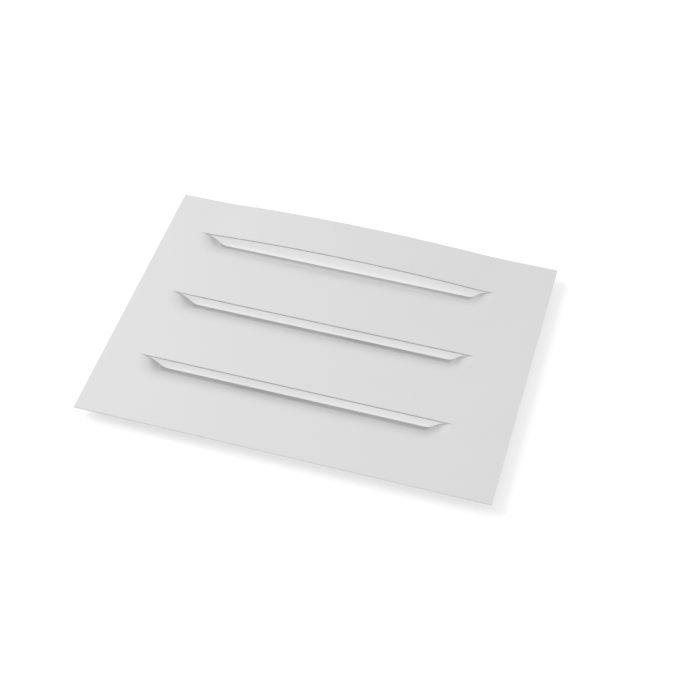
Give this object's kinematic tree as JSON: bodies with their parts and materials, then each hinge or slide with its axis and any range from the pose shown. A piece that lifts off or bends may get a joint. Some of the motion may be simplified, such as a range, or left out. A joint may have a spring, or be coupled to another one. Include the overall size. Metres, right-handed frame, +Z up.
{
  "type": "louvred sheet metal panel",
  "caption": "Flat rectangular aluminium sheet with a row of long louvres pressed out of it; each is a scoop with rounded ends that opens along a straight slit.",
  "frame": {"origin": "under the middle of the sheet, on the plane that the lips of the louvres rest on", "axes": "+X along the louvres, +Y across them from a scoop's fold to its slit, +Z up, out of the flat back face and away from the lips"},
  "size_m": [0.305, 0.229, 0.0152],
  "materials": {
    "sheet_aluminium": "plain rolled aluminium sheet, satin, with square-cut edges"
  },
  "bodies": {
    "root": {"louvred_panel": "sheet_aluminium"}
  },
  "joints": []
}
